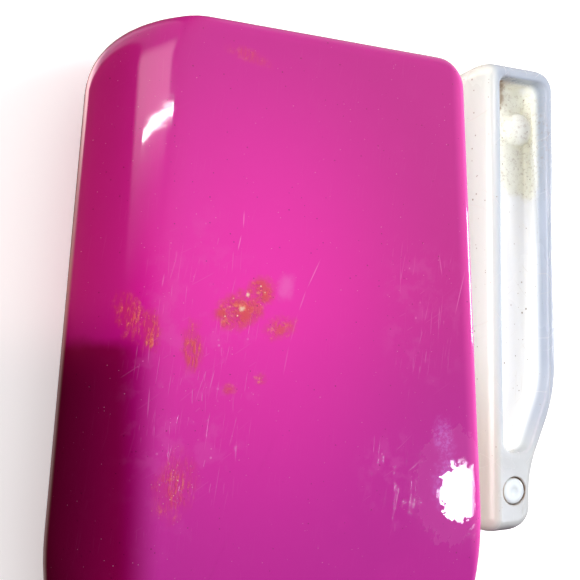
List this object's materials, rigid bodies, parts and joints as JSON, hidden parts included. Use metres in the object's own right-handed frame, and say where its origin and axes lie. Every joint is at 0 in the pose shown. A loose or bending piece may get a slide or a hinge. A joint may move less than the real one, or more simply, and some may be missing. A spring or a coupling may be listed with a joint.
{
  "type": "tracing wheel",
  "caption": "Palm-grip tracing wheel: squeezing a side lever pushes a serrated wheel out of the nose, and a spring draws it back.",
  "frame": {"origin": "on the flat rear face, in the middle of the grip", "axes": "+Z out of the front face, +Y towards the tail, -Y towards the wheel, +X towards the squeeze lever"},
  "size_m": [0.069, 0.1147, 0.0171],
  "materials": {
    "magenta_plastic": "glossy moulded plastic, worn and stained",
    "ivory_plastic": "moulded plastic, yellowed",
    "carrier_plastic": "matt acetal",
    "wheel_steel": "stamped steel, brushed round the hub",
    "spring_steel": "drawn spring wire",
    "pin_steel": "turned steel",
    "bolt_chrome": "nickel plated",
    "bush_brass": "turned brass",
    "screw_steel": "zinc plated"
  },
  "bodies": {
    "housing": {"rear_cover": "magenta_plastic", "front_cover": "magenta_plastic", "cover_screw_1": "screw_steel", "cover_screw_2": "screw_steel", "cover_screw_3": "screw_steel", "cover_screw_4": "screw_steel", "lever_pivot_pin": "ivory_plastic", "return_spring": "spring_steel"},
    "lever": {"squeeze_lever": "ivory_plastic", "drive_pin": "pin_steel"},
    "carrier": {"wheel_carrier": "carrier_plastic", "axle_bolt": "bolt_chrome", "axle_nut": "pin_steel", "thrust_washer": "pin_steel", "spring_washer": "spring_steel"},
    "wheel": {"tracing_wheel": "wheel_steel", "wheel_bush": "bush_brass"},
    "lock": {"lock_button": "ivory_plastic", "lock_slider": "carrier_plastic"}
  },
  "joints": [
    {"name": "lever_squeeze", "type": "hinge", "parent": "housing", "child": "lever", "pos_m": [0.0343, -0.0189, 0.0075], "axis": [0, 0, 1], "range_deg": [0, 8], "stiffness_Nm_per_rad": 0.5, "springref_deg": -17.19},
    {"name": "carrier_slide", "type": "slide", "parent": "housing", "child": "carrier", "axis": [0, -1, 0], "range_m": [0, 0.00485], "deforming": ["return_spring"]},
    {"name": "wheel_spin", "type": "hinge", "parent": "carrier", "child": "wheel", "pos_m": [0, -0.06, 0.0076], "axis": [0, 0, 1], "continuous": true},
    {"name": "lock_slide", "type": "slide", "parent": "housing", "child": "lock", "axis": [1, 0, 0], "range_m": [0, 0.0024]}
  ],
  "couplings": [
    {"joint": "carrier_slide", "follows": "lever_squeeze", "m_per_rad": 0.0344}
  ]
}
